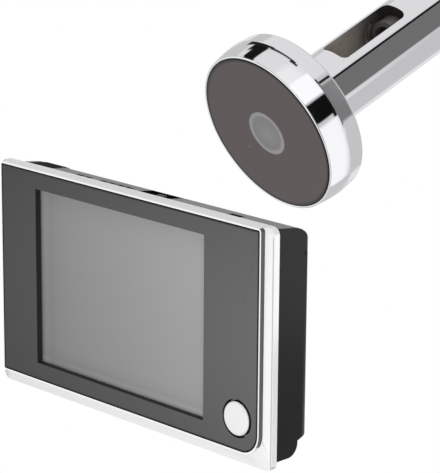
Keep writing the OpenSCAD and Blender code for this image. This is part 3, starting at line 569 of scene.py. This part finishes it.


# Front bezel. A silver painted moulding: a narrow rim level with the panel, polished bright on its
# front, and a lip that falls back from the rim's foot and is widest at the bottom, with a thin line of
# painted shade inside its right edge; the rim's outer wall carries grey painted shade and its seat black.
silver_finish = grained_finish(
    "silver_paint", (0.93, 0.93, 0.935), (0.97, 0.97, 0.975), (0.16, 0.22), metal=0.3, clouds=80.0, relief=0.0
)
rim_wall_shade_finish = grained_finish(
    "rim_wall_painted_shade", (0.10, 0.10, 0.105), (0.14, 0.14, 0.145), (0.25, 0.35),
    metal=0.6, clouds=80.0, relief=0.0,
)
rim_finish = grained_finish(
    "rim_polish", (0.95, 0.95, 0.955), (0.98, 0.98, 0.985), (0.18, 0.24), metal=0.9, clouds=80.0, relief=0.0
)
silver_tree = silver_finish.node_tree
silver_axes = object_axes(silver_tree)
# painted shade: a thin darker line inside the lip's right edge, standing in for its rounded edge mirroring
# less light
edge_shade_place = 0.03985
edge_shade_halves = (0.00010, 0.00022)
edge_shade_tones = (0.55, 1.0)
edge_shade_top = (0.0325, 0.0335)
edge_shade_apart = math_step(silver_tree, "SUBTRACT", silver_axes["X"], edge_shade_place)
edge_shade_reach = math_step(silver_tree, "ABSOLUTE", edge_shade_apart)
painted_edge_shade = range_step(silver_tree, edge_shade_reach, edge_shade_halves, edge_shade_tones)
edge_shade_share = range_step(silver_tree, silver_axes["Z"], edge_shade_top, (1.0, 0.0))
multiply_colour(silver_finish, painted_edge_shade, share=edge_shade_share)
bezel = rounded_piece("front_bezel", "bezel_frame", "monitor", 0.00009, segments=3)
side_lit.objects.link(bezel)
dress(bezel, silver_finish, rim_wall_shade_finish, rim_finish, gap_shade_finish)
bezel_crease = math.radians(24)
rim_top = -0.0214
wall_foot = -0.0196
rim_reach = 0.0365
seat_middle = Vector((-0.018, -0.0204, 0.002))
# painted shade: the rim's right outer wall gets the grey shade finish and the panel's seat the black one
for side in bezel.data.polygons:
    upright = abs(side.normal.y) < 0.1
    if upright and rim_top < side.center.y < wall_foot and side.center.x > rim_reach and side.normal.x > 0.1:
        side.material_index = 1
    elif side.normal.y < -0.9 and side.center.y < rim_top + skin:
        side.material_index = 2
    elif upright and side.center.y < wall_foot and (side.center - seat_middle).dot(side.normal) < 0:
        side.material_index = 3
    side.use_smooth = True
bezel.data.set_sharp_from_angle(angle=bezel_crease)
bezel.modifiers["edge"].harden_normals = True


# View button. A low domed cap of the same silver in a ring gap, on a stem over its switch; its
# skirt carries black painted shade for the ring gap, and a flange behind the panel keeps it in.
turned_crease = math.radians(32)


def turned_piece(name, profile, steps, place):
    """Spins a profile of radius and depth, in millimetres, about the y axis of a place."""
    merge_gap = 1e-7
    shape = bmesh.new()
    ring = [shape.verts.new((r / 1000, y / 1000, 0)) for r, y in profile]
    closing = len(ring) if profile[0][0] > 0 else len(ring) - 1
    edges = [shape.edges.new((ring[i], ring[(i + 1) % len(ring)])) for i in range(closing)]
    bmesh.ops.spin(
        shape, geom=ring + edges, cent=(0, 0, 0), axis=(0, 1, 0), angle=math.tau, steps=steps, use_merge=True
    )
    bmesh.ops.remove_doubles(shape, verts=shape.verts, dist=merge_gap)
    bmesh.ops.recalc_face_normals(shape, faces=shape.faces)
    for face in shape.faces:
        face.smooth = True
    bmesh.ops.transform(shape, matrix=place, verts=shape.verts)
    mesh = bpy.data.meshes.new(name)
    shape.to_mesh(mesh)
    shape.free()
    mesh.set_sharp_from_angle(angle=turned_crease)
    piece = bpy.data.objects.new(name, mesh)
    scene.collection.objects.link(piece)
    return piece


def arc_profile(middle, radius, first, last, count):
    """Points of a round in a turned profile."""
    turns = [math.radians(first + (last - first) * i / count) for i in range(count + 1)]
    return [(middle[0] + radius * math.cos(turn), middle[1] + radius * math.sin(turn)) for turn in turns]


button_place = Matrix.Translation((0.02895, -0.0214, -0.0212))
dome_radius = 4.3
dome_top = -0.70
dome_fall = 0.22
dome_steps = 10
cap_round = 0.8
cap_radius = 5.1
keeper_radius = 6.45
keeper_front = 2.1
keeper_back = 2.9
stem_radius = 1.5
stem_back = 3.2
button_dome = [
    (dome_radius * i / dome_steps, dome_top + dome_fall * (i / dome_steps) ** 2) for i in range(dome_steps)
]
button_profile = (
    button_dome
    + arc_profile((dome_radius, 0.32), cap_round, 270, 360, 8)
    + [(cap_radius, keeper_front), (keeper_radius, keeper_front), (keeper_radius, keeper_back)]
    + [(stem_radius, keeper_back), (stem_radius, stem_back), (0, stem_back)]
)
button_finish = grained_finish(
    "button_silver", (0.90, 0.90, 0.905), (0.95, 0.95, 0.955), (0.16, 0.22),
    metal=0.3, clouds=120.0, relief=0.0,
)
button = turned_piece("button_cap", button_profile, 96, button_place)
dress(button, button_finish, gap_shade_finish)
# painted shade: the cap's skirt in the ring gap is black
for side in button.data.polygons:
    if abs(side.normal.y) < 0.5:
        side.material_index = 1
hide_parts("view_button")
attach(button, "view_button")


# Flange. A cup turned from brass and chrome plated: a thin rim round the face disc, a front
# band that swells to a crease, and a rear band that draws in a little and lies on the door.
unit_frame = Matrix.Translation((0.1344, -0.1190, 0.0921)) @ unit_turn
disc_seat = 17.8
disc_depth = 1.6
cup_radius = 16.3
cup_floor = 7.8
neck_radius = 7.05
neck_back = 9.0
foot_radius = 8.05
flange_back = 9.4
band_front = (18.30, 0.30)
band_size = (0.60, 5.35)
band_swell = 0.12
band_steps = 12
flange_band = [
    (band_front[0] + band_size[0] * t + band_swell * 4 * t * (1 - t), band_front[1] + band_size[1] * t)
    for t in [i / band_steps for i in range(band_steps + 1)]
]
flange_profile = (
    [(disc_seat, disc_depth), (disc_seat, 0.18)]
    + arc_profile((17.95, 0.15), 0.15, 180, 270, 4)
    + arc_profile((18.08, 0.22), 0.22, 270, 345, 5)
    + flange_band
    + [(18.893, 5.73), (18.620, 8.80), (18.613, 8.88)]
    + arc_profile((18.163, 8.95), 0.45, 0, 90, 6)
    + [(foot_radius, flange_back), (foot_radius, neck_back), (neck_radius, neck_back)]
    + [(neck_radius, cup_floor), (cup_radius, cup_floor), (cup_radius, disc_depth)]
)
chrome_finish = grained_finish(
    "chrome_plating", (0.925, 0.92, 0.95), (0.965, 0.96, 0.985), (0.03, 0.06),
    metal=1.0, clouds=90.0, grain=1500.0, relief=0.0,
)
flange = turned_piece("flange_cup", flange_profile, 192, unit_frame)
dress(flange, chrome_finish)
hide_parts("flange")
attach(flange, "door_set")


# Face disc. A brown tinted acrylic disc over the camera, edged by a black gasket, with a
# clear window let into it over the lens.
disc_finish = grained_finish(
    "tinted_acrylic", (0.042, 0.027, 0.027), (0.050, 0.033, 0.033), (0.10, 0.16),
    clouds=70.0, grain=900.0, relief=0.0,
)
gasket_finish = grained_finish(
    "gasket_black", (0.004, 0.004, 0.004), (0.009, 0.009, 0.009), (0.5, 0.6), grain=2600.0
)
lens_finish = grained_finish(
    "lens_window_grey", (0.16, 0.155, 0.16), (0.21, 0.205, 0.21), (0.12, 0.2),
    clouds=240.0, grain=900.0, relief=0.0,
)


def tone_over(finish, place, stops):
    """Multiplies a finish's colour by tones at distances, in metres, from a place in the unit's frame."""
    tree = finish.node_tree
    span = stops[-1][0]
    apart = tree.nodes.new("ShaderNodeVectorMath")
    apart.operation = "DISTANCE"
    apart.inputs[1].default_value = unit_frame @ Vector(place)
    tree.links.new(object_place(tree), apart.inputs[0])
    ramp = tree.nodes.new("ShaderNodeValToRGB")
    while len(ramp.color_ramp.elements) < len(stops):
        ramp.color_ramp.elements.new(0.5)
    for stop, (distance, tone) in zip(ramp.color_ramp.elements, stops):
        stop.position = distance / span
        stop.color = (tone, tone, tone, 1)
    tree.links.new(math_step(tree, "DIVIDE", apart.outputs["Value"], span), ramp.inputs["Fac"])
    multiply_colour(finish, ramp.outputs["Color"])


# the window darkens from its middle outward and has a pale ring near its edge; the tint has a pin hole for
# the sensor and a black rim where it meets the gasket
face_middle = (0, 0, 0)
sensor_place = (-0.0062, 0, -0.0062)
window_glass = ((0.0, 0.95), (0.0014, 0.86), (0.0036, 0.74))
window_ring = ((0.0040, 0.78), (0.0044, 1.15), (0.0048, 1.10), (0.0052, 0.70))
tone_over(lens_finish, face_middle, window_glass + window_ring)
tone_over(disc_finish, sensor_place, ((0.0, 3.2), (0.00016, 2.6), (0.00030, 1.0)))
tone_over(disc_finish, face_middle, ((0.0169, 1.0), (0.0172, 0.06), (0.0176, 0.06)))
dress(nodes["face_disc"], disc_finish)
dress(nodes["face_gasket"], gasket_finish)
dress(nodes["lens_window"], lens_finish)


# Camera inside the flange: lens, holder, sensor, round board with its screws, infrared lamps
# and the light sensor that shows as a tiny dot through the tint.
lens_glass_finish = grained_finish(
    "lens_coating", (0.05, 0.06, 0.10), (0.09, 0.10, 0.16), (0.04, 0.08), clouds=400.0, relief=0.0
)
led_finish = grained_finish(
    "led_resin", (0.62, 0.62, 0.70), (0.78, 0.78, 0.84), (0.08, 0.16), clouds=500.0, relief=0.0
)
for node, finish in (
    ("lens_glass", lens_glass_finish), ("lens_barrel", chip_finish), ("lens_holder", chip_finish),
    ("image_sensor", chip_finish), ("camera_board", board_finish), ("camera_board_screws", zinc_finish),
    ("ir_leds", led_finish), ("light_sensor", led_finish),
):
    dress(nodes[node], finish)


# Barrel. A chrome plated tube screwed into the flange's back, with a slot window milled in its
# top and a thread for the clamp tube in its tail.
barrel_radius = 8.0
bore_wall = 6.5
thread_wall = 5.45
throat_wall = 5.5
barrel_end = 62.0
barrel = turned_piece(
    "barrel_tube",
    [(throat_wall, cup_floor), (7.0, cup_floor), (7.0, neck_back), (7.6, neck_back)]
    + [(barrel_radius, flange_back), (barrel_radius, 61.4), (7.7, 61.85), (7.4, barrel_end)]
    + [(5.6, barrel_end), (thread_wall, 61.8), (thread_wall, 37.7), (5.55, 37.6)]
    + [(6.35, 37.6), (bore_wall, 37.3), (bore_wall, 10.4), (throat_wall, 10.4)],
    128,
    unit_frame,
)
slot_size = (0.0067, 0.0198, 0.008)
slot_corner = 0.0015
slot_middle = 0.0312
slot_height = 0.008
slot_shape = bmesh.new()
bmesh.ops.create_cube(slot_shape, size=1.0)
bmesh.ops.scale(slot_shape, vec=slot_size, verts=slot_shape.verts)
slot_posts = [e for e in slot_shape.edges if abs(e.verts[0].co.z - e.verts[1].co.z) > slot_size[2] / 2]
bmesh.ops.bevel(
    slot_shape, geom=slot_posts, offset=slot_corner, offset_type="OFFSET", segments=8, profile=0.5,
    affect="EDGES", material=-1,
)
bmesh.ops.translate(slot_shape, verts=slot_shape.verts, vec=(0, slot_middle, slot_height))
bmesh.ops.transform(slot_shape, matrix=unit_frame, verts=slot_shape.verts)
slot_mesh = bpy.data.meshes.new("slot_cutter")
slot_shape.to_mesh(slot_mesh)
slot_shape.free()
slot_cutter = bpy.data.objects.new("slot_cutter", slot_mesh)
scene.collection.objects.link(slot_cutter)
slot_cut = barrel.modifiers.new("slot", "BOOLEAN")
slot_cut.operation = "DIFFERENCE"
slot_cut.solver = "EXACT"
slot_cut.object = slot_cutter
barrel_cut = bpy.data.meshes.new_from_object(barrel.evaluated_get(bpy.context.evaluated_depsgraph_get()))
barrel.modifiers.clear()
barrel.data = barrel_cut
bpy.data.objects.remove(slot_cutter)
bore_painted_shading_finish = grained_finish(
    "bore_plating_painted_shading", (0.60, 0.54, 0.49), (0.78, 0.73, 0.69), (0.24, 0.32),
    specular=0.25, clouds=120.0, grain=700.0, relief=0.0,
)
slot_wall_shade_finish = grained_finish(
    "slot_wall_painted_shade", (0.36, 0.33, 0.30), (0.46, 0.43, 0.40), (0.30, 0.40),
    specular=0.2, clouds=120.0, grain=700.0, relief=0.0,
)
# painted light and shade in the bore and on the slot's walls: brighter at the slot's near end, darkening
# towards its far end, and the slot's walls darker than the bore
slot_shade_start = (0, 0.021, 0)
tone_over(bore_painted_shading_finish, slot_shade_start, ((0.006, 1.25), (0.012, 1.15), (0.015, 0.8), (0.018, 0.18), (0.026, 0.05)))
tone_over(slot_wall_shade_finish, slot_shade_start, ((0.008, 1.0), (0.012, 0.6), (0.016, 0.20), (0.020, 0.05), (0.026, 0.03)))
dress(barrel, chrome_finish, bore_painted_shading_finish, slot_wall_shade_finish)
bore_reach = 0.0068
slot_half, slot_foot = 0.0105, 0.0039
step_front, step_back, step_radius = 0.0373, 0.0376, 0.0063
to_unit = unit_frame.inverted()
to_unit_turn = to_unit.to_3x3()
for side in barrel.data.polygons:
    middle = to_unit @ side.center
    outward = Vector((middle.x, 0, middle.z)).normalized()
    from_axis = math.hypot(middle.x, middle.z)
    in_slot = abs(middle.y - slot_middle) < slot_half and middle.z > slot_foot
    if step_front < middle.y < step_back and from_axis > step_radius:
        side.material_index = 0
    elif in_slot and abs(outward.dot(to_unit_turn @ side.normal)) < 0.8:
        side.material_index = 2
    else:
        side.material_index = 1 if from_axis < bore_reach else 0
barrel.data.set_sharp_from_angle(angle=turned_crease)
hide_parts("barrel")
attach(barrel, "door_set")


# Clamp tube and washer. A plated tube screwed into the barrel's tail, with a slotted head that
# draws the bracket to the door over a nylon washer; its front, seen in the slot, carries the bore's painted
# shade.
clamp = rounded_piece("clamp_tube", "clamp_tube_turned", "clamp_tube", 0.00012)
dress(clamp, chrome_finish, bore_painted_shading_finish)
clamp_front = 0.0445
clamp_shape = bmesh.new()
clamp_shape.from_mesh(clamp.data)
bmesh.ops.bisect_plane(
    clamp_shape, geom=clamp_shape.verts[:] + clamp_shape.edges[:] + clamp_shape.faces[:],
    plane_co=unit_frame @ Vector((0, clamp_front, 0)), plane_no=unit_frame.col[1].xyz,
)
clamp_shape.to_mesh(clamp.data)
clamp_shape.free()
for side in clamp.data.polygons:
    side.material_index = 1 if (to_unit @ side.center).y < clamp_front else 0
washer = rounded_piece("clamp_washer", "clamp_ring", "clamp_washer", 0.00012)
dress(washer, ivory_finish)
